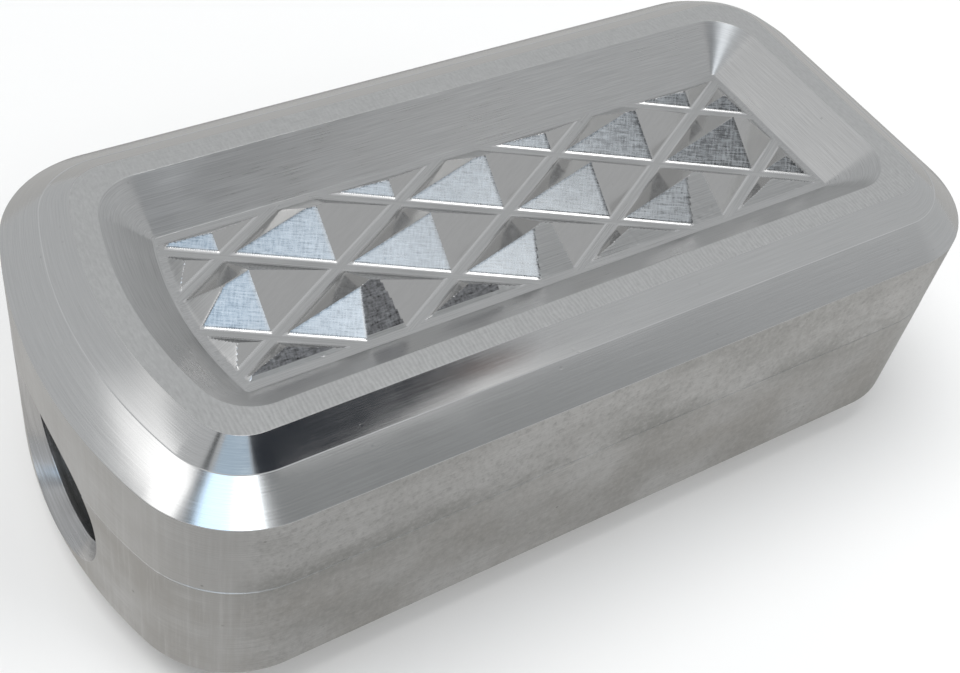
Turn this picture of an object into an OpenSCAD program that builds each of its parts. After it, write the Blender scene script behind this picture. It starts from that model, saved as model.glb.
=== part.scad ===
// Billet foot peg, held to its mount by one bolt along its length.
// Millimetres, +Z up. The origin is on the bolt's axis at the inner face, and the peg reaches along -X.

/* [Body] */
// Length from the inner face to the crown of the bowed outer end
body_l = 102; // [90:1:130]
// Width across the side walls
body_w = 50; // [48:1:60]
// Radius of the bow in the outer end
bow_r = 52.5; // [45:0.5:70]
// Radius of the upright corners
corner_r = 11.8; // [10:0.2:12.4]
// Height of the upright side wall
wall_h = 24.4; // [24:0.2:30]
// Bolt axis above the foot of the side wall
axis_up = 9; // [8.8:0.1:12]

/* [Bevel] */
// Run of the whole bevel, from the wall in to the rim
bevel_run = 6.8; // [6:0.1:7.4]
// Height of the whole bevel
bevel_h = 4.4; // [3.6:0.1:5]
// Run of the steeper facet next to the wall
steep_run = 3.8; // [3:0.1:4.4]
// Height of the steeper facet next to the wall
steep_h = 2.7; // [2.6:0.1:3]

/* [Tread] */
// How far in from the walls the groove round the tread runs
path_in = 14.792; // [14.4:0.001:15.2]
// Depth of the tread below the rim
tread_d = 4.2; // [3.8:0.1:4.6]
// Run of every groove flank over the depth of the tread
flank_run = 5; // [4.4:0.1:5.4]
// Width of the flat bottom of a groove
tip_w = 1; // [0.6:0.1:1.4]
// Distance between neighbouring grooves
pitch = 10; // [9:0.5:12]
// Angle between a groove and the length of the peg, in degrees
groove_turn = 30; // [25:1:40]
// Grooves to each side of the middle one
side_grooves = 2; // [1:1:3]

/* [Bolt way] */
// Radius of the counterbore that takes the bolt's head
head_bore_r = 8.5; // [8.3:0.1:9]
// Radius of the countersunk mouth
mouth_r = 10.2; // [9:0.1:10.4]
// Depth of the countersunk mouth
mouth_d = 2.2; // [1:0.1:3]
// Thickness of the solid web at the inner end
web_t = 27.5; // [20:0.5:40]
// Radius of the hole through the web
shank_bore_r = 5.05; // [5.02:0.01:5.1]

/* [Bolt] */
// Radius of the socket head
head_r = 8; // [7.5:0.1:8.2]
// Height of the socket head
head_h = 10; // [8:0.5:12]
// Key size across the flats of the socket
socket_af = 8; // [6:1:8]
// Depth of the socket
socket_d = 5; // [4:0.5:6]
// Radius of the plain shank
shank_r = 5; // [4.9:0.01:5]
// Radius over the crests of the thread
thread_r = 4.92; // [4.85:0.01:4.95]
// Length of thread that stands out of the inner face
thread_l = 10; // [8:0.5:12]
// Radius of the relief between the shank and the thread
relief_r = 4.1; // [3.9:0.1:4.4]
// Length of the relief
relief_l = 1.5; // [1:0.1:2.5]

/* [Lock washer] */
// Outer radius
washer_r = 8; // [7.6:0.1:8.2]
// Inner radius
washer_bore_r = 5.1; // [5.06:0.01:5.3]
// Thickness, pressed flat
washer_t = 2.5; // [2:0.1:3]
// Width of the slit
slit_w = 1.2; // [0.8:0.1:2]
// Slant of the slit, in degrees
slit_turn = 20; // [10:1:30]

/* [Index pins] */
// Distance of each pin from the bolt's axis
pin_out = 9.8; // [9.6:0.1:10.4]
// Radius of the part pressed into the peg
pin_r = 2.5; // [2.4:0.1:2.8]
// Depth of the part pressed into the peg
pin_in = 8; // [6:0.5:10]
// Radius of the nose that locates the peg
nose_r = 2.2; // [1.9:0.1:2.3]
// Length of the nose
nose_l = 4; // [3:0.5:5]

/* [Hidden] */
$fn = 96;
over = 1;

// Levels above the bolt's axis
z_foot = -axis_up;
z_under = z_foot - bevel_h;
z_brow = z_foot + wall_h;
z_rim = z_brow + bevel_h;
z_floor = z_rim - tread_d;

// Plan of the side walls: two straight sides, a straight inner end and an arc at the outer end
half_w = body_w / 2;
bow_x = bow_r - body_l;

// Section of the walls, bottom to top: [distance out from the corners' centres, level]
WALLS = [
    [corner_r - bevel_run, z_under],
    [corner_r - steep_run, z_foot - steep_h],
    [corner_r, z_foot],
    [corner_r, z_brow],
    [corner_r - steep_run, z_brow + steep_h],
    [corner_r - bevel_run, z_rim]
];

// Section of the outer flank of the groove round the tread, out from the middle of the groove
cut_h = tread_d + over;
cut_half = tip_w / 2 + cut_h * flank_run / tread_d;
BASIN = [[tip_w / 2, z_floor], [cut_half, z_floor + cut_h]];

// Bolt: the head bears on the lock washer, which bears on the web
seat_x = -web_t - washer_t;
chamfer = 1;
small_chamfer = 0.5;

// A solid with the peg's plan. Its section is carried along a line that is inset from the walls' plan,
// and turned about that line's corners. The bow and each outer corner meet on the line through their
// two centres, where they share a tangent
module plan_solid(inset, section) {
    y0 = half_w - inset;
    r0 = bow_r - inset;
    run = sqrt(r0 * r0 - y0 * y0);
    x0 = bow_x - run;
    low = section[0][1];
    high = section[len(section) - 1][1];
    front = [for (i = [len(section) - 1:-1:0]) [-y0 - section[i][0], section[i][1]]];
    rear = [for (p = section) [y0 + p[0], p[1]]];
    translate([x0, 0, 0])
        rotate([90, 0, 90])
            linear_extrude(-inset - x0)
                polygon(concat(rear, front));
    translate([-inset, y0, 0])
        rotate([90, 0, 0])
            linear_extrude(2 * y0)
                polygon(concat([[0, low]], section, [[0, high]]));
    for (side = [0, 1])
        mirror([0, side, 0]) {
            translate([-inset, y0, 0])
                rotate_extrude(angle = 90)
                    polygon(concat([[0, low]], section, [[0, high]]));
            translate([x0, y0, 0])
                intersection() {
                    turned(0, section);
                    slab(low, high)
                        polygon([[0, 0], [0, r0], [-run, r0], [-run, y0]]);
                }
        }
    translate([bow_x, 0, 0])
        intersection() {
            turned(r0, section);
            slab(low, high)
                polygon([[-run, -y0], [-run, y0], [-2 * run, 2 * y0], [-2 * run, -2 * y0]]);
        }
}

// A section turned about an upright axis, filled in to that axis
module turned(radius, section) {
    last = len(section) - 1;
    rotate_extrude()
        polygon(concat([[0, section[0][1]]], [for (p = section) [radius + p[0], p[1]]], [[0, section[last][1]]]));
}

// A flat shape raised through all of a section's height
module slab(low, high) {
    translate([0, 0, low - over])
        linear_extrude(high - low + 2 * over)
            children();
}

// Stock for one side of the tread field: a bar whose sides slope in like a groove's flank above the floor
module field_bar(half, length) {
    rotate([90, 0, 0])
        linear_extrude(length, center = true)
            polygon([[-half, -over], [half, -over], [half, 0], [half - flank_run, tread_d],
                [flank_run - half, tread_d], [-half, 0]]);
}

// One slanted groove that crosses the peg's middle line at x0
module slanted_groove(x0, hand) {
    translate([x0, 0, 0])
        rotate([90, 0, 90 + hand * groove_turn])
            linear_extrude(body_l, center = true)
                polygon([[-tip_w / 2, 0], [tip_w / 2, 0], [cut_half, cut_h], [-cut_half, cut_h]]);
}

// Points of the tread, standing on a plate just under the floor
module tread_field() {
    half_y = half_w - path_in - tip_w / 2;
    field_r = bow_r - path_in - tip_w / 2;
    right_x = -path_in - tip_w / 2;
    step_x = pitch / sin(groove_turn);
    translate([0, 0, z_floor])
        difference() {
            intersection() {
                rotate([0, 0, 90])
                    field_bar(half_y, 2 * body_l);
                translate([right_x - body_l / 2, 0, 0])
                    field_bar(body_l / 2, body_w);
                translate([bow_x, 0, 0])
                    union() {
                        translate([0, 0, -over])
                            cylinder(h = over, r = field_r);
                        cylinder(h = tread_d, r1 = field_r, r2 = field_r - flank_run);
                    }
            }
            for (i = [-side_grooves:side_grooves], hand = [-1, 1])
                slanted_groove(i * step_x - body_l / 2, hand);
        }
}

// Sunk basin, less the points that stand in it
module tread_cut() {
    difference() {
        plan_solid(path_in, BASIN);
        tread_field();
    }
}

// Countersunk mouth, counterbore and through hole for the bolt
module bolt_way() {
    mouth_flare = (mouth_r - head_bore_r) / mouth_d;
    rotate([0, 90, 0]) {
        translate([0, 0, -body_l - over])
            cylinder(h = body_l - web_t + over, r = head_bore_r);
        translate([0, 0, -body_l - over])
            cylinder(h = mouth_d + over, r1 = mouth_r + over * mouth_flare, r2 = head_bore_r);
        translate([0, 0, -web_t - over])
            cylinder(h = web_t + 2 * over, r = shank_bore_r);
    }
}

// Blind holes for the index pins
module pin_holes() {
    for (side = [-1, 1])
        translate([-pin_in, side * pin_out, 0])
            rotate([0, 90, 0])
                cylinder(h = pin_in + over, r = pin_r);
}

// The peg itself, cut from one block of aluminium
module peg_body() {
    color("silver")
        difference() {
            plan_solid(corner_r, WALLS);
            tread_cut();
            bolt_way();
            pin_holes();
        }
}

// Socket-head bolt, with a plain shank through the web, a relief, and its thread standing out of the inner face
module mounting_bolt() {
    color("dimgray")
        rotate([0, 90, 0])
            difference() {
                union() {
                    translate([0, 0, seat_x - head_h])
                        cylinder(h = chamfer, r1 = head_r - chamfer, r2 = head_r);
                    translate([0, 0, seat_x - head_h + chamfer])
                        cylinder(h = head_h - chamfer, r = head_r);
                    translate([0, 0, seat_x - over])
                        cylinder(h = over - seat_x - relief_l, r = shank_r);
                    translate([0, 0, -relief_l - over])
                        cylinder(h = relief_l + 2 * over, r = relief_r);
                    cylinder(h = thread_l - chamfer, r = thread_r);
                    translate([0, 0, thread_l - chamfer])
                        cylinder(h = chamfer, r1 = thread_r, r2 = thread_r - chamfer);
                }
                translate([0, 0, seat_x - head_h - over])
                    cylinder(h = socket_d + over, r = socket_af / sqrt(3), $fn = 6);
            }
}

// Split spring washer, pressed flat under the bolt's head
module lock_washer() {
    color("gray")
        rotate([0, 90, 0])
            translate([0, 0, seat_x])
                difference() {
                    cylinder(h = washer_t, r = washer_r);
                    translate([0, 0, -over])
                        cylinder(h = washer_t + 2 * over, r = washer_bore_r);
                    translate([0, (washer_r + washer_bore_r) / 2, washer_t / 2])
                        rotate([0, slit_turn, 0])
                            cube([slit_w, washer_r, 3 * washer_t], center = true);
                }
}

// Stepped pin pressed into the inner face, which keeps the tread facing up
module index_pin(side) {
    color("lightgray")
        translate([0, side * pin_out, 0])
            rotate([0, 90, 0]) {
                translate([0, 0, small_chamfer - pin_in])
                    cylinder(h = pin_in - small_chamfer, r = pin_r);
                cylinder(h = nose_l - small_chamfer, r = nose_r);
                translate([0, 0, nose_l - small_chamfer])
                    cylinder(h = small_chamfer, r1 = nose_r, r2 = nose_r - small_chamfer);
            }
}

peg_body();
mounting_bolt();
lock_washer();
index_pin(-1);  // front_index_pin
index_pin(1);  // rear_index_pin
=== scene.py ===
"""The visual model of a billet foot peg: machined body with its tread, bolt, spring washer and index pins.

Lengths are in millimetres in the peg's own frame, and MM turns them into metres. The numbers that the
CAD also uses carry the same names as there, except for the bore's mouth, which is an oval here."""

import math

import bmesh
import bpy
import numpy as np
from mathutils import Matrix, Vector
from mathutils.geometry import delaunay_2d_cdt


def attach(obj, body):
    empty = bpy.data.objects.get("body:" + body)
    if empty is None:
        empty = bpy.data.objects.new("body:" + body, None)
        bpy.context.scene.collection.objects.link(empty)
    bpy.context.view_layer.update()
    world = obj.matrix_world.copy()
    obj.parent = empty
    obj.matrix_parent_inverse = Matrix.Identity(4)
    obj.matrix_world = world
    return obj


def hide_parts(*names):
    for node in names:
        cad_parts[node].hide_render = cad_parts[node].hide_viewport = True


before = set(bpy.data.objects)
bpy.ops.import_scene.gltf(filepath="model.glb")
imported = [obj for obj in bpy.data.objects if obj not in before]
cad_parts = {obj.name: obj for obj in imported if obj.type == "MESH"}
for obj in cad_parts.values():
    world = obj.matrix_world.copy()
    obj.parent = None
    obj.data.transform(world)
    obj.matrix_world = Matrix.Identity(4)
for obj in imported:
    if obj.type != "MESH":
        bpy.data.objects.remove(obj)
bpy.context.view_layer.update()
MM = 0.001

# ---------------------------------------------------------------- sizes shared with the CAD

BODY_L, BODY_W, BOW_R, CORNER_R = 102.0, 50.0, 52.5, 11.8
WALL_H, AXIS_UP = 24.4, 9.0
BEVEL_RUN, BEVEL_H, STEEP_RUN, STEEP_H = 6.8, 4.4, 3.8, 2.7
PATH_IN, TREAD_D, FLANK_RUN, TIP_W = 14.792, 4.2, 5.0, 1.0
PITCH, GROOVE_TURN, SIDE_GROOVES = 10.0, math.radians(30), 2
HEAD_BORE_R, MOUTH_HALF_H, MOUTH_HALF_W, MOUTH_D = 8.5, 8.85, 11.3, 2.2
WEB_T, SHANK_BORE_R = 27.5, 5.05
HEAD_R, HEAD_H, SOCKET_AF, SOCKET_D, SHANK_R = 8.0, 10.0, 8.0, 5.0, 5.0
THREAD_R, THREAD_L, THREAD_PITCH, RELIEF_R, RELIEF_L = 4.92, 10.0, 1.5, 4.1, 1.5
WASHER_R, WASHER_BORE_R, WASHER_T, SLIT_W, SLIT_TURN = 8.0, 5.1, 2.5, 1.2, math.radians(20)
PIN_OUT, PIN_R, PIN_IN, NOSE_R, NOSE_L = 9.8, 2.5, 8.0, 2.2, 4.0

HALF_W = BODY_W / 2
BOW_X = BOW_R - BODY_L
Z_FOOT = -AXIS_UP
Z_UNDER = Z_FOOT - BEVEL_H
Z_BROW = Z_FOOT + WALL_H
Z_RIM = Z_BROW + BEVEL_H
Z_FLOOR = Z_RIM - TREAD_D
SEAT_X = -WEB_T - WASHER_T
SLOPE = TREAD_D / FLANK_RUN
MID_X = -BODY_L / 2

# Details that only the visual model has: the flat foot of a groove and the gentler strip beside it, out to a
# distance from the groove's middle, the ledge along the blend line, and the land between the two bevels.
GROOVE_FOOT, LEAD_OUT, LEAD_SLOPE = 0.4, 0.7, math.tan(math.radians(24))
LEAD_H = LEAD_SLOPE * 0.3
LINE_Z = Z_FOOT + 14.55
LEDGE, CREASE_W = 0.03, 0.12
TREAD_FINE = PITCH / 100
TORN_X, TORN_FOOT = -58, 0.25
KNURLS, KNURL_DEPTH = 72, 0.16
THREAD_DEPTH, THREAD_STEP = 0.61 * THREAD_PITCH, 0.11


# ---------------------------------------------------------------- mesh building

class Build:
    """Gathers vertices, faces, grain coordinates and material numbers, and makes one mesh of them."""

    def __init__(self):
        self.points, self.faces, self.grain, self.kinds, self.count = [], [], [], [], 0

    def add(self, points):
        start = self.count
        self.points.append(np.asarray(points, float))
        self.count += len(points)
        return start

    def face(self, corners, grain, kind):
        self.faces.append(corners)
        self.grain.append(grain)
        self.kinds.append(kind)

    def strip(self, low, high, n, low_grain, high_grain, kind, closed=True):
        """Quads between two rows of n points. The grain lists have one more entry when the rows close."""
        for i in range(n if closed else n - 1):
            j = (i + 1) % n
            self.face(
                (low + i, low + j, high + j, high + i),
                (low_grain[i], low_grain[i + 1], high_grain[i + 1], high_grain[i]),
                kind(i) if callable(kind) else kind,
            )

    def make(self, name, materials, sharp=30.0):
        mesh = bpy.data.meshes.new(name)
        mesh.from_pydata((np.vstack(self.points) * MM).tolist(), [], self.faces)
        layer = mesh.uv_layers.new(name="grain")
        layer.data.foreach_set("uv", np.array([c for f in self.grain for c in f], float).ravel())
        for m in materials:
            mesh.materials.append(m)
        mesh.polygons.foreach_set("material_index", self.kinds)
        obj = bpy.data.objects.new(name, mesh)
        bpy.context.scene.collection.objects.link(obj)
        mesh.shade_smooth()
        mark_sharp(mesh, sharp)
        return obj


def mark_sharp(mesh, degrees):
    """Edges that turn by more than this many degrees stay crisp."""
    work = bmesh.new()
    work.from_mesh(mesh)
    limit = math.radians(degrees)
    for e in work.edges:
        e.smooth = not (len(e.link_faces) == 2 and e.calc_face_angle(0) > limit)
    work.to_mesh(mesh)
    work.free()


def fix_normals(obj):
    work = bmesh.new()
    work.from_mesh(obj.data)
    bmesh.ops.recalc_face_normals(work, faces=work.faces)
    work.to_mesh(obj.data)
    work.free()
    return obj


def rounded(section, radii, steps=3):
    """The section with its inner points rounded off, each by its own radius."""
    out = [section[0]]
    for k in range(1, len(section) - 1):
        p, a, b = (np.array(section[i], float) for i in (k, k - 1, k + 1))
        r = radii[k - 1]
        if r <= 0:
            out.append(tuple(p))
            continue
        da, db = (a - p) / np.linalg.norm(a - p), (b - p) / np.linalg.norm(b - p)
        half = math.acos(np.clip(da @ db, -1, 1)) / 2
        back = r / math.tan(half)
        mid = (da + db) / np.linalg.norm(da + db)
        centre = p + mid * r / math.sin(half)
        s, e = p + da * back - centre, p + db * back - centre
        turn = math.acos(np.clip(s @ e / r / r, -1, 1))
        for i in range(steps + 1):
            t = i / steps
            q = (math.sin((1 - t) * turn) * s + math.sin(t * turn) * e) / math.sin(turn)
            out.append(tuple(centre + q))
    out.append(section[-1])
    return out


# ---------------------------------------------------------------- peg body

def plan_samples():
    """Where the rings round the peg have their points, as (part of the outline, place on it, side). The place
    is an angle on the outer end's curves and the inner corners, and a share on the sides and inner end."""
    half = [("out", a) for a in np.linspace(-180, -158, 21)]
    half += [("out", a) for a in np.linspace(-158, -90, 32)[1:]]
    half += [("straight", t) for t in np.linspace(0, 1, 50)[1:-1]]
    half += [("in", a) for a in np.linspace(-90, 0, 34)]
    half += [("end", t) for t in np.linspace(1, 0, 12)[1:]]
    return [(*sample, -1) for sample in half] + [(*sample, 1) for sample in reversed(half[1:-1])]


SAMPLES = plan_samples()
RING_N = len(SAMPLES)


def ring(inset, e):
    """Points at a distance e in from the walls. The corners turn about those of a line at inset."""
    y0, r0, out = HALF_W - inset, BOW_R - inset, inset - e
    run = math.sqrt(r0 * r0 - y0 * y0)
    x0, turn = BOW_X - run, math.degrees(math.atan2(y0, run))
    points = []
    for kind, value, side in SAMPLES:
        a = math.radians(value)
        if kind == "end":
            points.append((-inset + out, side * y0 * value))
        elif kind == "straight":
            points.append((x0 + (-inset - x0) * value, side * (y0 + out)))
        elif kind == "out" and 180 + value <= turn:
            points.append((BOW_X + (r0 + out) * math.cos(a), -side * (r0 + out) * math.sin(a)))
        else:
            cx = x0 if kind == "out" else -inset
            points.append((cx + out * math.cos(a), side * (y0 - out * math.sin(a))))
    return np.array(points)


def around(points):
    """Distance along a closed line, with its whole length at the end."""
    steps = np.linalg.norm(np.roll(points, -1, 0) - points, axis=1)
    return np.concatenate([[0], np.cumsum(steps)])


ALONG = around(ring(CORNER_R, 0))

# Kinds of surface on the body, each with a material of its own
KINDS = 13
(LOWER_WALL, UPPER_WALL, LOWER_BEVEL, UPPER_BEVEL, RIM, BASIN, FLOOR, MINUS, PLUS, UNDER, BORE, LEAD,
 TORN) = range(KINDS)


def outer_section():
    """Wall section from the underside up to the rim, as (distance in, level, kind of surface up to there)."""
    under = rounded(
        [(8.4, Z_UNDER), (BEVEL_RUN, Z_UNDER), (STEEP_RUN, Z_FOOT - STEEP_H), (0, Z_FOOT), (0, LINE_Z - 0.1)],
        [0.3, 0.3, 0.25],
    )
    ledge = [(0.0, LINE_Z - 0.05), (LEDGE + 0.05, LINE_Z), (LEDGE, LINE_Z + 0.08)]
    upper = rounded(
        [(LEDGE, LINE_Z + 0.1), (LEDGE, Z_BROW + 0.04), (STEEP_RUN, Z_BROW + STEEP_H),
         (STEEP_RUN + CREASE_W, Z_BROW + STEEP_H), (BEVEL_RUN, Z_RIM), (7.6, Z_RIM)],
        [0.14, 0, 0, 0.07],
    )
    rows = [(e, z, UNDER if z < Z_FOOT - 0.2 else LOWER_WALL) for e, z in under]
    rows += [(e, z, LOWER_WALL) for e, z in ledge]
    for e, z in upper:
        if z < Z_BROW + 0.05:
            kind = UPPER_WALL
        elif e <= STEEP_RUN + 0.001:
            kind = LOWER_BEVEL
        elif e <= STEEP_RUN + CREASE_W + 0.001:
            kind = LEAD
        elif z < Z_RIM - 0.001:
            kind = UPPER_BEVEL
        else:
            kind = RIM
        rows.append((e, z, kind))
    return rows


def inner_section():
    top_in = PATH_IN - TIP_W / 2 - FLANK_RUN
    foot_in = PATH_IN - TIP_W / 2
    rows = rounded(
        [(top_in - 0.5, Z_RIM), (top_in, Z_RIM), (foot_in, Z_FLOOR), (foot_in + 0.2, Z_FLOOR)],
        [0.14, 0.16],
    )
    return [(e, z, RIM if z > Z_RIM - 0.04 else BASIN if z > Z_FLOOR + 0.05 else FLOOR) for e, z in rows]


def smooth_min(a, b, k):
    h = np.clip(0.5 + 0.5 * (b - a) / k, 0, 1)
    return b * (1 - h) + a * h - k * h * (1 - h)


def groove(u, count):
    """Height left standing beside a family of V grooves, at a place u across them."""
    nearest = np.clip(np.round(u / PITCH), -count, count) * PITCH
    away = np.abs(u - nearest)
    lead = LEAD_SLOPE * np.maximum(away - GROOVE_FOOT, 0)
    return np.where(away < LEAD_OUT, lead, LEAD_H + SLOPE * (away - LEAD_OUT))


def ripple(x, y, scale, seed):
    """Smooth uneven pattern between about -1 and 1."""
    g = np.random.default_rng(seed)
    total = np.zeros_like(x)
    for _ in range(14):
        a, f, p = g.uniform(0, math.tau), g.uniform(0.5, 2.0) / scale, g.uniform(0, math.tau)
        total += np.sin((x * math.cos(a) + y * math.sin(a)) * f * math.tau + p)
    return total / 5.3


def tread(build):
    """The pyramids, as a fine net whose lines run along the grooves' edges and the pyramids' ridges."""
    dx, dy = TREAD_FINE / math.sin(GROOVE_TURN), TREAD_FINE / math.cos(GROOVE_TURN)
    y0, r0 = HALF_W - PATH_IN, BOW_R - PATH_IN
    nx0, nx1 = int((-BODY_L + PATH_IN - 1 - MID_X) / dx), int((-PATH_IN + 1 - MID_X) / dx)
    ny = int((y0 + 1) / dy)
    xs, ys = MID_X + np.arange(nx0, nx1 + 1) * dx, np.arange(-ny, ny + 1) * dy
    x, y = np.meshgrid(xs, ys, indexing="ij")
    c, s = math.cos(GROOVE_TURN), math.sin(GROOVE_TURN)
    plus = -(x - MID_X) * s + y * c
    minus = (x - MID_X) * s + y * c
    side = y0 - np.abs(y)
    end = -PATH_IN - x
    bow = r0 - np.hypot(x - BOW_X, y)
    inside = np.minimum(np.minimum(side, end), bow)
    rag = 0.05 * np.maximum(ripple(x, y, 0.7, 3), 0) * (ripple(x, y, 9, 4) > 0.1)
    h_plus, h_minus = groove(plus, SIDE_GROOVES), groove(minus, SIDE_GROOVES)
    h_rim = SLOPE * np.maximum(inside - TIP_W / 2 - rag, 0)
    height = smooth_min(smooth_min(h_plus, h_minus, 0.07), h_rim, 0.05)
    height = np.minimum(np.maximum(height, 0), TREAD_D)
    keep = inside >= -0.12
    cell = keep[:-1, :-1] & keep[1:, :-1] & keep[:-1, 1:] & keep[1:, 1:]
    used = np.zeros_like(keep)
    for a, b in ((0, 0), (1, 0), (0, 1), (1, 1)):
        used[a: used.shape[0] - 1 + a, b: used.shape[1] - 1 + b] |= cell
    number = np.full(keep.shape, -1)
    number[used] = np.arange(used.sum())
    start = build.add(np.c_[x[used], y[used], Z_FLOOR + height[used]])
    number[used] += start
    middle = [(m[:-1, :-1] + m[1:, 1:]) / 2 for m in (h_plus, h_minus, h_rim)]
    grain_plus = np.stack([(x - MID_X) * c + y * s, plus], -1)
    grain_minus = np.stack([(x - MID_X) * c - y * s, minus + 200], -1)
    grain_side = np.stack([x, y + 400], -1)
    for i, j in zip(*np.nonzero(cell)):
        hp, hm, hr = (m[i, j] for m in middle)
        a, b, c2, d = (i, j), (i + 1, j), (i + 1, j + 1), (i, j + 1)
        if hr < min(hp, hm):
            torn = y[i, j] < 0 and x[i, j] < TORN_X and side[i, j] <= bow[i, j]
            net, kind = grain_side, TORN if torn else FLOOR
        elif hp < hm:
            net, kind = grain_plus, PLUS
        else:
            net, kind = grain_minus, MINUS
        if min(hp, hm, hr) < 0.02 or (kind == TORN and hr < TORN_FOOT):
            kind = FLOOR
        elif min(hp, hm) < LEAD_H - 0.01:
            kind = LEAD
        tris = ((a, b, c2), (a, c2, d)) if hp < hm else ((a, b, d), (b, c2, d))
        for t in tris:
            build.face(tuple(int(number[q]) for q in t), tuple(tuple(net[q]) for q in t), kind)
    return cell, xs, ys, number


def boundary_loop(cell, number):
    """The outline of the kept cells, as vertex numbers in order."""
    nxt = {}
    nx, ny = cell.shape
    padded = np.zeros((nx + 2, ny + 2), bool)
    padded[1:-1, 1:-1] = cell
    for i, j in zip(*np.nonzero(cell)):
        p, q = i + 1, j + 1
        if not padded[p, q - 1]:
            nxt[(i, j)] = (i + 1, j)
        if not padded[p + 1, q]:
            nxt[(i + 1, j)] = (i + 1, j + 1)
        if not padded[p, q + 1]:
            nxt[(i + 1, j + 1)] = (i, j + 1)
        if not padded[p - 1, q]:
            nxt[(i, j + 1)] = (i, j)
    first = next(iter(nxt))
    loop, at = [first], nxt[first]
    while at != first:
        loop.append(at)
        at = nxt[at]
    return loop


def make_body(materials):
    """The body without its bores: wall and basin rings, the tread's net, and a flat floor between the two."""
    build = Build()
    rows = [(CORNER_R, *r) for r in outer_section()] + [(PATH_IN, *r) for r in inner_section()]
    last, last_v, last_ez = None, 0.0, None
    v = 0.0
    for inset, e, z, kind in rows:
        plan = ring(inset, e)
        start = build.add(np.c_[plan, np.full(RING_N, z)])
        if last is None:
            first_start, first_plan = start, plan
        else:
            v += math.hypot(e - last_ez[0], z - last_ez[1])
            build.strip(last, start, RING_N, [(u, last_v) for u in ALONG], [(u, v) for u in ALONG], kind)
        last, last_v, last_ez = start, v, (e, z)
    foot_start, foot_plan = last, plan
    under = tuple(first_start + i for i in reversed(range(RING_N)))
    build.face(under, tuple(tuple(first_plan[i]) for i in reversed(range(RING_N))), UNDER)
    cell, xs, ys, number = tread(build)
    loop = boundary_loop(cell, number)
    inner = [(xs[i], ys[j]) for i, j in loop]
    flat = [tuple(p) for p in foot_plan] + inner
    names = [foot_start + i for i in range(RING_N)] + [int(number[q]) for q in loop]
    n = RING_N
    edges = [(i, (i + 1) % n) for i in range(n)]
    edges += [(n + i, n + (i + 1) % len(inner)) for i in range(len(inner))]
    _, _, tris, *_ = delaunay_2d_cdt([Vector(p) for p in flat], edges, [], 0, 1e-6)
    ring_xy, loop_xy = np.array(flat[:n]), np.array(inner)
    for t in tris:
        mid = np.mean([flat[i] for i in t], 0)
        if within(mid, ring_xy) and not within(mid, loop_xy):
            a, b, c = (np.array(flat[i]) for i in t)
            if np.cross(b - a, c - a) < 0:
                t = (t[0], t[2], t[1])
            build.face(tuple(names[i] for i in t), tuple(tuple(flat[i]) for i in t), FLOOR)
    return build.make("machined_body", materials)


def within(point, polygon):
    """Whether the point lies inside the polygon."""
    x, y = point
    a, b = polygon, np.roll(polygon, -1, 0)
    cross = (a[:, 1] > y) != (b[:, 1] > y)
    with np.errstate(divide="ignore", invalid="ignore"):
        at = a[:, 0] + (y - a[:, 1]) * (b[:, 0] - a[:, 0]) / (b[:, 1] - a[:, 1])
    return (np.count_nonzero(cross & (x < at)) % 2) == 1


def turned_mesh(profile, turns, name="cutter", widen=None):
    """Closed solid turned about the bolt's axis. The profile is (x, radius) and starts and ends on the axis.
    widen gives a factor for its width at a place x."""
    verts, faces, n = [], [], turns
    inner = profile[1:-1]
    for x, r in inner:
        w = widen(x) if widen else 1.0
        verts += [(x, w * r * math.cos(math.tau * i / n), r * math.sin(math.tau * i / n)) for i in range(n)]
    a, b = len(verts), len(verts) + 1
    verts += [(profile[0][0], 0, 0), (profile[-1][0], 0, 0)]
    for k in range(len(inner) - 1):
        for i in range(n):
            j = (i + 1) % n
            faces.append((k * n + i, (k + 1) * n + i, (k + 1) * n + j, k * n + j))
    for i in range(n):
        j = (i + 1) % n
        faces.append((a, i, j))
        faces.append((b, (len(inner) - 1) * n + j, (len(inner) - 1) * n + i))
    mesh = bpy.data.meshes.new(name)
    mesh.from_pydata([tuple(c * MM for c in v) for v in verts], [], faces)
    obj = bpy.data.objects.new(name, mesh)
    bpy.context.scene.collection.objects.link(obj)
    return fix_normals(obj)


def cut(obj, cutter, kind):
    """Takes the cutter's solid out of obj. The cut's surface gets the given material number."""
    for m in obj.data.materials:
        cutter.data.materials.append(m)
    for p in cutter.data.polygons:
        p.material_index = kind
    mod = obj.modifiers.new("cut", "BOOLEAN")
    mod.operation, mod.solver, mod.object = "DIFFERENCE", "EXACT", cutter
    graph = bpy.context.evaluated_depsgraph_get()
    mesh = bpy.data.meshes.new_from_object(obj.evaluated_get(graph))
    obj.modifiers.clear()
    old, obj.data = obj.data, mesh
    mesh.name = obj.name
    bpy.data.meshes.remove(old)
    bpy.data.objects.remove(cutter)


def mouth_width(x):
    """The mouth's flare is wider than high, as it stays above the body's lower edge."""
    return 1 + max(0.0, -BODY_L + MOUTH_D - x) / MOUTH_D * (MOUTH_HALF_W / MOUTH_HALF_H - 1)


def bore_profile():
    """Counterbore with its mouth, and the shank's hole with a small bevel at the inner face."""
    over, flare = 2.0, (MOUTH_HALF_H - HEAD_BORE_R) / MOUTH_D
    outline = [
        (-BODY_L - over, MOUTH_HALF_H + over * flare),
        (-BODY_L + MOUTH_D, HEAD_BORE_R),
        (-WEB_T, HEAD_BORE_R),
        (-WEB_T, SHANK_BORE_R),
        (-0.4, SHANK_BORE_R),
        (over, SHANK_BORE_R + over + 0.4),
    ]
    rows = rounded(outline, [0.5, 0.6, 0.2, 0.1], 4)
    return [(-BODY_L - over, 0)] + list(rows) + [(over, 0)]


# ---------------------------------------------------------------- hardware

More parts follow.
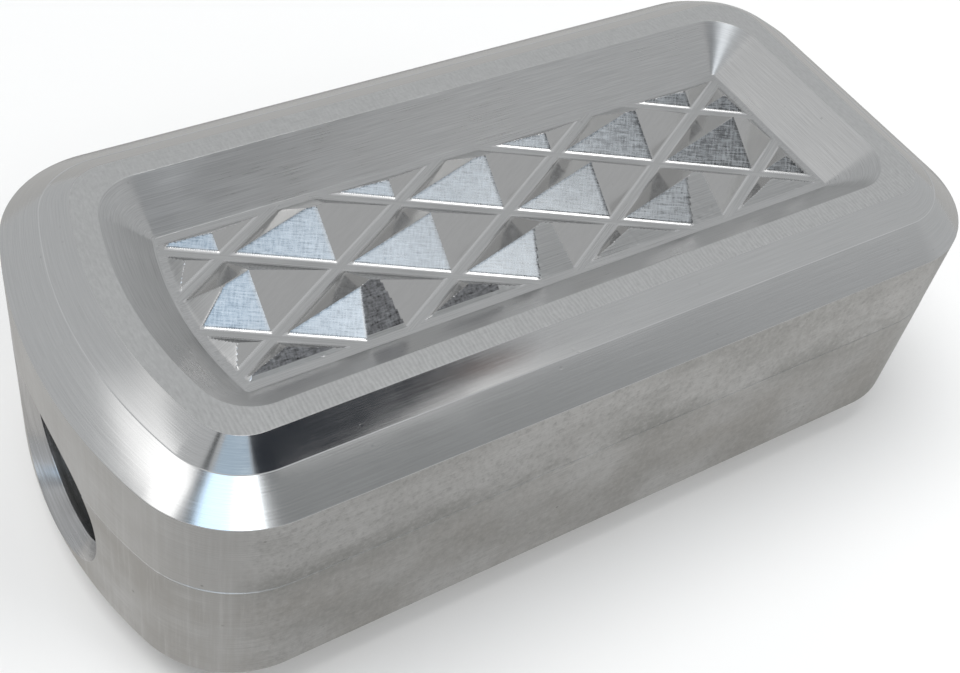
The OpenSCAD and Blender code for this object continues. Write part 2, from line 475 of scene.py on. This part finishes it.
def revolve(build, rows, n, wobble=None, cap_end=True):
    """Rows of (x, radius) turned about the X axis. wobble changes a radius with its angle."""
    angles = np.arange(n) / n * math.tau
    last, v = None, 0.0
    for k, (x, r) in enumerate(rows):
        radius = np.full(n, float(r)) if wobble is None else wobble(k, x, r, angles)
        start = build.add(np.c_[np.full(n, x), radius * np.cos(angles), radius * np.sin(angles)])
        grain = [(i / n * math.tau * max(r, 0.5), 0.0) for i in range(n + 1)]
        if last is not None:
            v2 = v + math.hypot(x - last[1], r - last[2])
            build.strip(start, last[0], n, [(g[0], v2) for g in grain], [(g[0], v) for g in last[3]], 0)
            v = v2
        else:
            centre = build.add([(x, 0, 0)])
            for i in range(n):
                build.face((centre, start + i, start + (i + 1) % n), ((0, 0), grain[i], grain[i + 1]), 0)
        last = (start, x, r, grain)
    if cap_end:
        centre = build.add([(last[1], 0, 0)])
        for i in range(n):
            build.face((centre, last[0] + (i + 1) % n, last[0] + i), ((0, 0), last[3][i + 1], last[3][i]), 0)


def make_bolt(material):
    build = Build()
    n = 144
    top, seat = SEAT_X - HEAD_H, SEAT_X

    def hexagon(angles):
        local = (angles + math.pi / 6) % (math.pi / 3) - math.pi / 6
        return SOCKET_AF / 2 / np.cos(local)

    socket_r = SOCKET_AF / 2 / math.cos(math.pi / 6) + 0.25
    rows = [
        (top + SOCKET_D + 1.6, 0.02, "round"),
        (top + SOCKET_D, SOCKET_AF / 2 - 0.3, "round"),
        (top + SOCKET_D - 0.05, SOCKET_AF / 2 - 0.1, "round"),
        (top + SOCKET_D - 0.15, 0, "hex"),
        (top + 0.55, 0, "hex"),
        (top + 0.4, 0, "lead"),
        (top + 0.02, socket_r, "round"),
        (top, socket_r + 0.15, "round"),
        (top, HEAD_R - 1.0, "round"),
        (top + 0.12, HEAD_R - 0.72, "round"),
        (top + 0.62, HEAD_R - 0.2, "round"),
        (top + 1.0, HEAD_R - 0.14, "round"),
        (top + 1.3, HEAD_R, "knurl"),
        (seat - 2.2, HEAD_R, "knurl"),
        (seat - 1.9, HEAD_R - 0.14, "round"),
        (seat - 0.3, HEAD_R - 0.14, "round"),
        (seat, HEAD_R - 0.45, "round"),
        (seat, SHANK_R + 0.5, "round"),
        (seat + 0.5, SHANK_R, "round"),
        (-RELIEF_L - 0.3, SHANK_R, "round"),
        (-RELIEF_L, SHANK_R - 0.3, "round"),
        (-RELIEF_L + 0.3, RELIEF_R, "round"),
        (-0.45, RELIEF_R, "round"),
    ]
    kinds = [r[2] for r in rows]

    def wobble(k, x, r, angles):
        if kinds[k] == "hex":
            return hexagon(angles)
        if kinds[k] == "lead":
            return np.maximum(hexagon(angles), SOCKET_AF / 2 + 0.3)
        if kinds[k] == "knurl":
            return r - KNURL_DEPTH * (0.5 + 0.5 * np.cos(angles * KNURLS))
        return np.full(len(angles), float(r))

    revolve(build, [(x, r) for x, r, _ in rows], n, wobble, cap_end=False)
    last, v = build.count - n, 0.0
    angles = np.arange(n) / n * math.tau
    steps = int(THREAD_L / THREAD_STEP)
    for k in range(1, steps + 1):
        x = k / steps * THREAD_L
        phase = (x / THREAD_PITCH - angles / math.tau) % 1
        tooth = np.abs(2 * phase - 1)
        radius = THREAD_R - THREAD_DEPTH * np.clip((tooth - 0.12) / 0.76, 0, 1)
        start_cut = np.clip(x / 1.2, 0, 1)
        radius = RELIEF_R + (radius - RELIEF_R) * start_cut
        radius = np.minimum(radius, THREAD_R - max(0, x - THREAD_L + 1.0))
        row = build.add(np.c_[np.full(n, x), radius * np.cos(angles), radius * np.sin(angles)])
        flow = [(i / n * math.tau * THREAD_R, v) for i in range(n + 1)]
        build.strip(row, last, n, [(g[0], v + THREAD_STEP) for g in flow], flow, 0)
        last, v = row, v + THREAD_STEP
    centre = build.add([(THREAD_L, 0, 0)])
    for i in range(n):
        build.face((centre, last + (i + 1) % n, last + i), ((0, 0), (i + 1, 0), (i, 0)), 0)
    return fix_normals(build.make("socket_bolt", [material], 28))


def make_washer(material):
    """Split ring with a slanted gap. Its section is a rectangle with rounded corners."""
    build = Build()
    inner, outer, t = WASHER_BORE_R, WASHER_R, WASHER_T
    corner = rounded(
        [(outer - 1, 0), (outer, 0), (outer, t), (inner, t), (inner, 0), (outer - 1, 0)],
        [0.25, 0.25, 0.25, 0.25], 3,
    )[:-1]
    m, n = len(corner), 120
    mean = (inner + outer) / 2
    half_gap = SLIT_W / 2 / mean / math.cos(SLIT_TURN)
    v = np.concatenate([[0], np.cumsum([math.dist(corner[i], corner[(i + 1) % m]) for i in range(m)])])
    last = None
    for k in range(n + 1):
        points = []
        for r, x in corner:
            slant = math.tan(SLIT_TURN) * (x - t / 2) / mean
            a0, a1 = half_gap + slant, math.tau - half_gap + slant
            a = a0 + (a1 - a0) * k / n
            points.append((SEAT_X + x, r * math.cos(a), r * math.sin(a)))
        start = build.add(points)
        grain = [(k / n * math.tau * mean, q) for q in v]
        if k in (0, n):
            order = list(range(m) if k else reversed(range(m)))
            build.face(tuple(start + i for i in order), tuple(tuple(corner[i]) for i in order), 0)
        if last is not None:
            build.strip(last[0], start, m, last[1], grain, 0)
        last = (start, grain)
    return fix_normals(build.make("spring_washer", [material], 35))


def make_pin(side, material):
    build = Build()
    rows = rounded(
        [(-PIN_IN, 0.0), (-PIN_IN, PIN_R - 0.4), (-PIN_IN + 0.5, PIN_R), (-0.12, PIN_R), (-0.05, NOSE_R),
         (NOSE_L - 0.5, NOSE_R), (NOSE_L, NOSE_R - 0.5), (NOSE_L, 0.0)],
        [0.1, 0.1, 0.05, 0.0, 0.15, 0.15], 2,
    )[1:-1]
    revolve(build, rows, 64)
    obj = build.make(("front" if side < 0 else "rear") + "_pin", [material], 40)
    obj.data.transform(Matrix.Translation((0, side * PIN_OUT * MM, 0)))
    return fix_normals(obj)


# ---------------------------------------------------------------- materials

class Nodes:
    """Short ways to build a material's nodes."""

    def __init__(self, name):
        self.material = bpy.data.materials.new(name)
        self.material.use_nodes = True
        self.tree = self.material.node_tree
        self.shader = self.tree.nodes["Principled BSDF"]

    def new(self, kind, **values):
        node = self.tree.nodes.new(kind)
        for key, value in values.items():
            if key in node.inputs:
                node.inputs[key].default_value = value
            else:
                setattr(node, key, value)
        return node

    def link(self, a, b):
        self.tree.links.new(a, b)

    def coords(self, source, scale, turn=0.0, move=(0, 0, 0)):
        """The grain map, or the object's own coordinates in millimetres, stretched by scale."""
        if source == "grain":
            out = self.new("ShaderNodeUVMap", uv_map="grain").outputs[0]
            unit = 1.0
        else:
            out = self.new("ShaderNodeTexCoord").outputs["Object"]
            unit = 1 / MM
        node = self.new("ShaderNodeMapping")
        node.inputs["Rotation"].default_value = (0, 0, turn)
        node.inputs["Scale"].default_value = tuple(s * unit for s in scale)
        node.inputs["Location"].default_value = move
        self.link(out, node.inputs["Vector"])
        return node.outputs[0]

    def noise(self, coords, detail=3.0, rough=0.55):
        node = self.new("ShaderNodeTexNoise", Scale=1.0, Detail=detail, Roughness=rough)
        self.link(coords, node.inputs["Vector"])
        return node.outputs["Fac"]

    def remap(self, value, a, b, lo, hi):
        node = self.new("ShaderNodeMapRange", clamp=True)
        for key, v in (("From Min", a), ("From Max", b), ("To Min", lo), ("To Max", hi)):
            node.inputs[key].default_value = v
        self.link(value, node.inputs["Value"])
        return node.outputs["Result"]

    def math(self, op, a, b):
        node = self.new("ShaderNodeMath", operation=op)
        for k, x in enumerate((a, b)):
            if isinstance(x, (int, float)):
                node.inputs[k].default_value = x
            else:
                self.link(x, node.inputs[k])
        return node.outputs[0]

    def mix(self, factor, a, b):
        node = self.new("ShaderNodeMix", data_type="RGBA")
        for socket, x in ((node.inputs[0], factor), (node.inputs[6], a), (node.inputs[7], b)):
            if isinstance(x, (int, float)):
                socket.default_value = x
            elif isinstance(x, tuple):
                socket.default_value = (*x, 1)
            else:
                self.link(x, socket)
        return node.outputs[2]

    def bump(self, height, distance, strength=1.0, onto=None):
        node = self.new("ShaderNodeBump", Strength=strength, Distance=distance * MM)
        self.link(height, node.inputs["Height"])
        if onto is not None:
            self.link(onto, node.inputs["Normal"])
        return node.outputs[0]


def machined(name, tint, rough, streak=0.5, hatch=None, blotch=0.0, pits=0.35, across=9.0, along=0.12,
             depth=0.004, source="grain", upright=0.0, grit=0.0):
    """Machined aluminium: fine tool streaks along the grain, a second set across it, blotches and pits.
    upright adds tool marks up the walls, and grit the sawn, stained skin of the long sides."""
    n = Nodes(name)
    shader = n.shader
    shader.inputs["Metallic"].default_value = 1.0
    scale = (along, across, 1) if source == "grain" else (along, across, across)
    fine = n.noise(n.coords(source, scale), 4.0, 0.7)
    height = fine
    if hatch:
        cross = n.noise(n.coords(source, (across * hatch, along * 2.0, 1)), 3.0, 0.6)
        height = n.math("ADD", n.math("MULTIPLY", fine, 0.64), n.math("MULTIPLY", cross, 0.36))
    cloud = n.noise(n.coords("object", (0.09, 0.09, 0.09)), 4.0, 0.6)
    speck = n.new("ShaderNodeTexVoronoi", feature="F1", Scale=1.0)
    n.link(n.coords("object", (0.55, 0.55, 0.55)), speck.inputs["Vector"])
    spot = n.remap(speck.outputs["Distance"], 0.03, 0.11, 1.0, 0.0)
    rare = n.remap(n.noise(n.coords("object", (0.16, 0.16, 0.16), move=(5, 3, 1)), 2.0), 0.55, 0.68, 0.0, 1.0)
    spot = n.math("MULTIPLY", n.math("MULTIPLY", spot, rare), pits)
    dark = tuple(c * (1 - 0.28 * streak) for c in tint)
    light = tuple(min(1, c * (1 + 0.16 * streak)) for c in tint)
    color = n.mix(n.remap(height, 0.36, 0.64, 0, 1), dark, light)
    if blotch:
        patch = n.remap(cloud, 0.35, 0.65, 0, blotch)
        color = n.mix(patch, color, tuple(c * 0.74 * w for c, w in zip(tint, (1.02, 0.99, 0.95))))
    if upright:
        color, height = wall_skin(n, color, height, tint, upright, grit)
    color = n.mix(spot, color, (0.07, 0.065, 0.06))
    n.link(color, shader.inputs["Base Color"])
    r = n.math("ADD", n.remap(height, 0.3, 0.7, rough - 0.06 * streak, rough + 0.08 * streak),
               n.remap(cloud, 0.3, 0.7, -0.03, 0.05))
    n.link(r, shader.inputs["Roughness"])
    normal = n.bump(height, depth)
    normal = n.bump(n.math("SUBTRACT", 1.0, spot), 0.05, 0.7, normal)
    n.link(normal, shader.inputs["Normal"])
    return n.material


def wall_skin(n, color, height, tint, upright, grit):
    """Tool marks up the walls, and on the long sides a stained, gritty skin, darkest along the blend line."""
    place = n.new("ShaderNodeSeparateXYZ")
    n.link(n.coords("object", (1, 1, 1)), place.inputs[0])
    long_side = n.remap(n.math("ABSOLUTE", place.outputs[1], 0), 23.6, 24.8, 0, 1)
    share = n.remap(long_side, 0, 1, upright, 0.35 * upright)
    marks = n.noise(n.coords("grain", (1.6, 0.06, 1)), 4.0, 0.7)
    worn = tuple(c * 0.8 * w for c, w in zip(tint, (1, 0.98, 0.94)))
    color = n.mix(n.math("MULTIPLY", n.remap(marks, 0.35, 0.5, 1, 0), share), color, worn)
    color = n.mix(n.math("MULTIPLY", n.remap(marks, 0.52, 0.66, 0, 1), share), color,
                  tuple(min(1, c * 1.2) for c in tint))
    skin = n.noise(n.coords("object", (1.7, 1.7, 1.7), move=(2, 7, 4)), 6.0, 0.72)
    stain = n.noise(n.coords("object", (0.07, 0.07, 0.16), move=(9, 1, 6)), 5.0, 0.6)
    off_line = n.math("ABSOLUTE", n.math("SUBTRACT", place.outputs[2], LINE_Z + 0.4), 0)
    near_line = n.remap(off_line, 0.3, 2.6, 1, 0)
    stained = n.math("ADD", n.remap(stain, 0.42, 0.62, 0, 0.55),
                     n.math("MULTIPLY", near_line, n.remap(stain, 0.36, 0.5, 0, 0.5)))
    stained = n.math("MULTIPLY", stained, n.remap(long_side, 0, 1, 0, grit))
    color = n.mix(stained, color, tuple(c * 0.55 * w for c, w in zip(tint, (1, 1, 0.97))))
    rubbed = n.math("MULTIPLY", n.remap(skin, 0.5, 0.66, 0, 1), n.remap(long_side, 0, 1, 0, 0.5 * grit))
    color = n.mix(rubbed, color, tuple(min(1, c * 1.18) for c in tint))
    dug = n.math("MULTIPLY", n.remap(skin, 0.34, 0.48, 1, 0), n.remap(long_side, 0, 1, 0, 0.6 * grit))
    color = n.mix(dug, color, tuple(c * 0.5 for c in tint))
    return color, n.math("ADD", height, n.math("MULTIPLY", skin, n.remap(long_side, 0, 1, 0, 3 * grit)))


def rim_material():
    """Face-milled land. Short strokes lie across the front land and fade on the others."""
    n = Nodes("milled_rim")
    shader = n.shader
    shader.inputs["Metallic"].default_value = 1.0
    wave = n.new("ShaderNodeTexWave", wave_type="BANDS", bands_direction="X", wave_profile="SIN",
                 Scale=1.0, Distortion=5.0, Detail=3.0)
    wave.inputs["Detail Scale"].default_value = 2.2
    n.link(n.coords("object", (0.72, 0.3, 0.3), math.radians(6)), wave.inputs["Vector"])
    place = n.new("ShaderNodeSeparateXYZ")
    n.link(n.coords("object", (1, 1, 1)), place.inputs[0])
    front = n.remap(place.outputs[1], -10, -17, 0.22, 1.0)
    fine = n.noise(n.coords("grain", (0.5, 5.0, 1)), 3.0, 0.6)
    speckle = n.noise(n.coords("object", (3.0, 1.2, 1.0)), 3.0, 0.7)
    cloud = n.noise(n.coords("object", (0.2, 0.2, 0.2)), 3.0)
    marks = n.math("MULTIPLY", n.math("SUBTRACT", wave.outputs["Fac"], 0.5), front)
    pattern = n.math("ADD", n.math("MULTIPLY", marks, 0.26), n.math("MULTIPLY", speckle, 0.7))
    pattern = n.math("ADD", pattern, n.math("MULTIPLY", fine, 0.4))
    color = n.mix(n.remap(pattern, 0.2, 0.8, 0, 1), (0.62, 0.62, 0.61), (0.82, 0.82, 0.81))
    n.link(color, shader.inputs["Base Color"])
    n.link(n.remap(cloud, 0.3, 0.7, 0.28, 0.38), shader.inputs["Roughness"])
    n.link(n.bump(pattern, 0.01), shader.inputs["Normal"])
    return n.material


def steel(name, tint, rough, along=0.4, across=6.0, depth=0.003, wear=None):
    n = Nodes(name)
    shader = n.shader
    shader.inputs["Metallic"].default_value = 1.0
    fine = n.noise(n.coords("grain", (along, across, 1)), 4.0, 0.6)
    cloud = n.noise(n.coords("object", (0.5, 0.5, 0.5)), 4.0, 0.6)
    color = n.mix(n.remap(fine, 0.35, 0.65, 0, 1), tuple(c * 0.82 for c in tint), tint)
    if wear:
        edge = n.new("ShaderNodeNewGeometry").outputs["Pointiness"]
        rub = n.math("MULTIPLY", n.remap(edge, 0.51, 0.56, 0, 1), n.remap(cloud, 0.35, 0.6, 0, 1))
        color = n.mix(rub, color, wear)
    n.link(color, shader.inputs["Base Color"])
    n.link(n.remap(cloud, 0.3, 0.7, rough - 0.05, rough + 0.07), shader.inputs["Roughness"])
    n.link(n.bump(n.math("ADD", fine, n.math("MULTIPLY", cloud, 0.6)), depth), shader.inputs["Normal"])
    return n.material


def body_materials():
    grey = (0.74, 0.74, 0.735)
    table = {
        LOWER_WALL: machined("bar_stock", (0.64, 0.638, 0.63), 0.42, 0.5, blotch=0.75, pits=0.5, depth=0.005,
                             upright=0.3, grit=0.5),
        UPPER_WALL: machined("milled_wall", (0.64, 0.64, 0.635), 0.36, 0.4, blotch=0.3, depth=0.004,
                             upright=0.2, grit=0.7),
        LOWER_BEVEL: machined("lower_bevel", grey, 0.15, 0.25, pits=0.12, depth=0.0012),
        UPPER_BEVEL: machined("upper_bevel", grey, 0.105, 0.25, pits=0.12, depth=0.0012),
        RIM: rim_material(),
        BASIN: machined("basin_flank", (0.78, 0.78, 0.77), 0.15, 0.25, blotch=0.15, pits=0.3, depth=0.0006),
        FLOOR: machined("groove_foot", (0.68, 0.68, 0.675), 0.3, 0.5, pits=0.4, depth=0.001),
        MINUS: machined("facet_fine", (0.43, 0.43, 0.43), 0.25, 1.8, hatch=0.55, pits=0.3, across=8.0,
                        along=0.5, depth=0.002),
        PLUS: machined("facet_plain", (0.65, 0.645, 0.635), 0.12, 0.1, pits=0.3, across=3.0, along=0.3,
                       depth=0.0004),
        UNDER: machined("underside", grey, 0.36, 0.6, blotch=0.3, pits=0.3),
        BORE: machined("turned_bore", (0.62, 0.62, 0.62), 0.22, 0.6, pits=0.0, across=0.05, along=2.5,
                       source="object", depth=0.0015),
        LEAD: machined("groove_lead", (0.85, 0.85, 0.845), 0.18, 0.3, pits=0.2, depth=0.0006),
        TORN: machined("torn_cut", (0.34, 0.34, 0.35), 0.32, 2.4, hatch=0.8, pits=0.3, across=5.0, along=1.0,
                       depth=0.004),
    }
    return [table[k] for k in range(KINDS)]


# ---------------------------------------------------------------- the piece list

body = make_body(body_materials())
cut(body, turned_mesh(bore_profile(), 128, widen=mouth_width), BORE)
for side in (-1, 1):
    hole = turned_mesh([(-PIN_IN - 0.01, 0), (-PIN_IN - 0.01, PIN_R), (1, PIN_R), (1, 0)], 64, "hole")
    hole.data.transform(Matrix.Translation((0, side * PIN_OUT * MM, 0)))
    cut(body, hole, BORE)
body.data.shade_smooth()
mark_sharp(body.data, 26)
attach(body, "peg")
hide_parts("peg_body")

bolt = make_bolt(steel("black_oxide", (0.05, 0.05, 0.055), 0.38, wear=(0.28, 0.27, 0.26)))
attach(bolt, "bolt")
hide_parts("mounting_bolt")

washer = make_washer(steel("zinc_plate", (0.5, 0.5, 0.49), 0.34))
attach(washer, "washer")
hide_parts("lock_washer")

ground = steel("ground_steel", (0.55, 0.55, 0.55), 0.22, along=0.1, across=8.0, depth=0.001)
for side, node in ((-1, "front_index_pin"), (1, "rear_index_pin")):
    pin = make_pin(side, ground)
    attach(pin, "peg")
    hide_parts(node)


# ---------------------------------------------------------------- floor, light and camera

FLOOR_GAP = 0.2


def floor():
    mesh = bpy.data.meshes.new("floor")
    half, z = 8.0, (Z_UNDER - FLOOR_GAP) * MM
    corners = [(-half, -half, z), (half, -half, z), (half, half, z), (-half, half, z)]
    mesh.from_pydata(corners, [], [(0, 1, 2, 3)])
    obj = bpy.data.objects.new("floor", mesh)
    bpy.context.scene.collection.objects.link(obj)
    n = Nodes("pale_floor")
    n.shader.inputs["Base Color"].default_value = (0.86, 0.86, 0.855, 1)
    n.shader.inputs["Roughness"].default_value = 0.85
    mesh.materials.append(n.material)


AIM = Vector((MID_X * MM, 0, Z_RIM * MM))


def lamp(name, kind, direction, distance):
    """Light on the floor. The metal mirrors the panels instead."""
    light = bpy.data.lights.new(name, kind)
    obj = bpy.data.objects.new(name, light)
    bpy.context.scene.collection.objects.link(obj)
    obj.location = AIM + Vector(direction).normalized() * distance
    obj.rotation_euler = (obj.location - AIM).to_track_quat("Z", "Y").to_euler()
    obj.visible_camera = obj.visible_glossy = False
    return light


def sky_light(name, direction, width, strength):
    """Soft light from far off, width degrees wide, as bright on the far floor as on the near one."""
    light = lamp(name, "SUN", direction, 1.0)
    light.angle, light.energy = math.radians(width), strength


def softbox(name, direction, distance, size, strength):
    light = lamp(name, "AREA", direction, distance)
    light.shape, light.size, light.size_y = "RECTANGLE", size[0], size[1]
    light.energy = strength * math.pi * distance * distance


def panel(name, azimuth, elevation, color, strength, soft=(0, 0, 0, 0), radius=1.2, lean=0.0, slope=0.0):
    """Bright or dark studio panel, bent round the peg, that shows only in reflections. Azimuth 0 is -Y, 90 is
    +X. soft is the share of its size over which it fades: low and high azimuth, then low and high edge.
    lean turns its top by that many degrees of azimuth, and slope raises its high azimuth edge by degrees."""
    n_az = max(4, int((azimuth[1] - azimuth[0]) / 5))
    n_el = max(3, int((elevation[1] - elevation[0]) / 5))
    points, uv = [], []
    for j in range(n_el + 1):
        for i in range(n_az + 1):
            az = math.radians(azimuth[0] + (azimuth[1] - azimuth[0]) * i / n_az + lean * j / n_el)
            el = math.radians(elevation[0] + (elevation[1] - elevation[0]) * j / n_el + slope * i / n_az)
            d = Vector((math.sin(az) * math.cos(el), -math.cos(az) * math.cos(el), math.sin(el)))
            points.append(tuple(AIM + d * radius))
            uv.append((i / n_az, j / n_el))
    corners = [j * (n_az + 1) + i for j in range(n_el) for i in range(n_az)]
    faces = [(k, k + 1, k + n_az + 2, k + n_az + 1) for k in corners]
    glowing(name, points, faces, uv, color, strength, soft)


def sheet(name, x, y, lift, strength, soft, most=1.0):
    """Sheet on the floor that only the metal sees, so the floor can be pale. x and y are its reach in metres,
    lift its height over the floor in millimetres, and soft and most are as for a panel."""
    z = (Z_UNDER - FLOOR_GAP + lift) * MM
    points = [(x[0], y[0], z), (x[1], y[0], z), (x[1], y[1], z), (x[0], y[1], z)]
    uv = [(0, 0), (1, 0), (1, 1), (0, 1)]
    glowing(name, points, [(0, 1, 2, 3)], uv, (1, 0.99, 0.97), strength, soft, most)


def glowing(name, points, faces, uv, color, strength, soft, most=1.0):
    """Surface that shines in reflections only. most is its cover away from its soft edges."""
    mesh = bpy.data.meshes.new(name)
    mesh.from_pydata(points, [], faces)
    layer = mesh.uv_layers.new(name="panel")
    layer.data.foreach_set("uv", [c for f in faces for v in f for c in uv[v]])
    obj = bpy.data.objects.new(name, mesh)
    bpy.context.scene.collection.objects.link(obj)
    n = Nodes(name)
    glow = n.new("ShaderNodeEmission", Color=(*color, 1), Strength=strength)
    across = n.new("ShaderNodeSeparateXYZ")
    n.link(n.new("ShaderNodeUVMap", uv_map="panel").outputs[0], across.inputs[0])
    cover = most
    for axis in (0, 1):
        low, high = soft[2 * axis], soft[2 * axis + 1]
        if low:
            cover = n.math("MULTIPLY", cover, n.remap(across.outputs[axis], 0, low, 0, 1))
        if high:
            cover = n.math("MULTIPLY", cover, n.remap(across.outputs[axis], 1 - high, 1, 1, 0))
    out = glow.outputs[0]
    if any(soft):
        blend = n.new("ShaderNodeMixShader")
        n.link(cover, blend.inputs[0])
        n.link(n.new("ShaderNodeBsdfTransparent").outputs[0], blend.inputs[1])
        n.link(out, blend.inputs[2])
        out = blend.outputs[0]
    n.link(out, n.tree.nodes["Material Output"].inputs["Surface"])
    obj.data.materials.append(n.material)
    obj.visible_camera = obj.visible_diffuse = obj.visible_shadow = False


floor()
world = bpy.data.worlds.new("studio")
bpy.context.scene.world = world
world.use_nodes = True
world.node_tree.nodes["Background"].inputs["Color"].default_value = (0.50, 0.51, 0.52, 1)
world.node_tree.nodes["Background"].inputs["Strength"].default_value = 1.0

sky_light("top_light", (-0.25, 0.2, 1.0), 42, 1.7)
softbox("side_light", (0.6, -0.6, 0.8), 0.9, (0.5, 0.5), 0.9)

WHITE, SKY, GREY = (1.0, 1.0, 1.0), (0.76, 1.0, 1.26), (0.95, 0.985, 1.0)
panel("front_window", (-63, -22), (35, 57.5), SKY, 1.6, (0.03, 0, 0.1, 0.05))
panel("bright_window", (-34, -6), (36, 60.5), (0.95, 1.0, 1.04), 2.7, (0.4, 0.05, 0.1, 0.05), 1.18)
panel("left_window", (-130, -74), (29, 47.5), WHITE, 1.7, (0.5, 0.02, 0.15, 0.12))
panel("window_post", (-67, -57), (36, 70), GREY, 0.08, (0.2, 0.2, 0.05, 0.05), 1.15, -20)
panel("blue_wall", (-66, -6), (57.5, 75), (0.8, 1.0, 1.2), 0.55, (0.05, 0.1, 0, 0.2))
panel("light_gap", (20, 50), (46, 54), WHITE, 0.85, (0, 0.3, 0.2, 0), 1.25)
panel("low_wall", (1, 64), (36, 59.5), GREY, 0.29, (0.05, 0.6, 0.2, 0.05), 1.2, 0, -25)
panel("dark_board", (-9, 52.5), (53.5, 76), (0.8, 0.94, 1.2), 0.03, (0.08, 0.07, 0.04, 0.1), 1.1)
panel("warm_edge", (44.5, 50), (52, 57), (1.0, 0.78, 0.72), 0.22, (0.3, 0.4, 0.3, 0.4), 1.05)
panel("rear_glow", (-158, -118), (41, 62), WHITE, 0.85, (0.3, 0.3, 0.3, 0.3))
panel("ceiling", (-75, 115), (71, 85.5), WHITE, 2.4, (0.1, 0.1, 0.12, 0.1))
sheet("table_top", (-4, 4), (-4, 4), 0.05, 0.4, (0.04, 0.04, 0.04, 0.04), 0.85)
sheet("left_card", (-0.17, -0.085), (-0.035, 0.08), 0.1, 0.6, (0.2, 0.1, 0.2, 0.2))
sheet("right_card", (-0.075, 0.05), (-0.085, -0.034), 0.1, 0.64, (0.6, 0.1, 0.3, 0.12))

camera = bpy.data.cameras.new("camera")
camera.sensor_fit, camera.sensor_width = "HORIZONTAL", 36.0
camera.lens = 52.74
camera.clip_start, camera.clip_end = 0.01, 20
camera.dof.use_dof = False
camera_object = bpy.data.objects.new("camera", camera)
bpy.context.scene.collection.objects.link(camera_object)


def place_camera(azimuth, elevation, roll, distance, target):
    az, el, turn = (math.radians(v) for v in (azimuth, elevation, roll))
    back = Vector((math.sin(az) * math.cos(el), -math.cos(az) * math.cos(el), math.sin(el)))
    right = Vector((0, 0, 1)).cross(back).normalized()
    up = back.cross(right)
    x_axis = right * math.cos(turn) + up * math.sin(turn)
    y_axis = up * math.cos(turn) - right * math.sin(turn)
    position = Vector(target) * MM + back * distance * MM
    camera_object.matrix_world = Matrix((
        (x_axis.x, y_axis.x, back.x, position.x),
        (x_axis.y, y_axis.y, back.y, position.y),
        (x_axis.z, y_axis.z, back.z, position.z),
        (0, 0, 0, 1),
    ))


place_camera(-41.133, 47.533, 12.609, 169.55, (-48.13, 3.24, Z_FOOT))
bpy.context.scene.camera = camera_object
bpy.context.scene.view_settings.view_transform = "Standard"
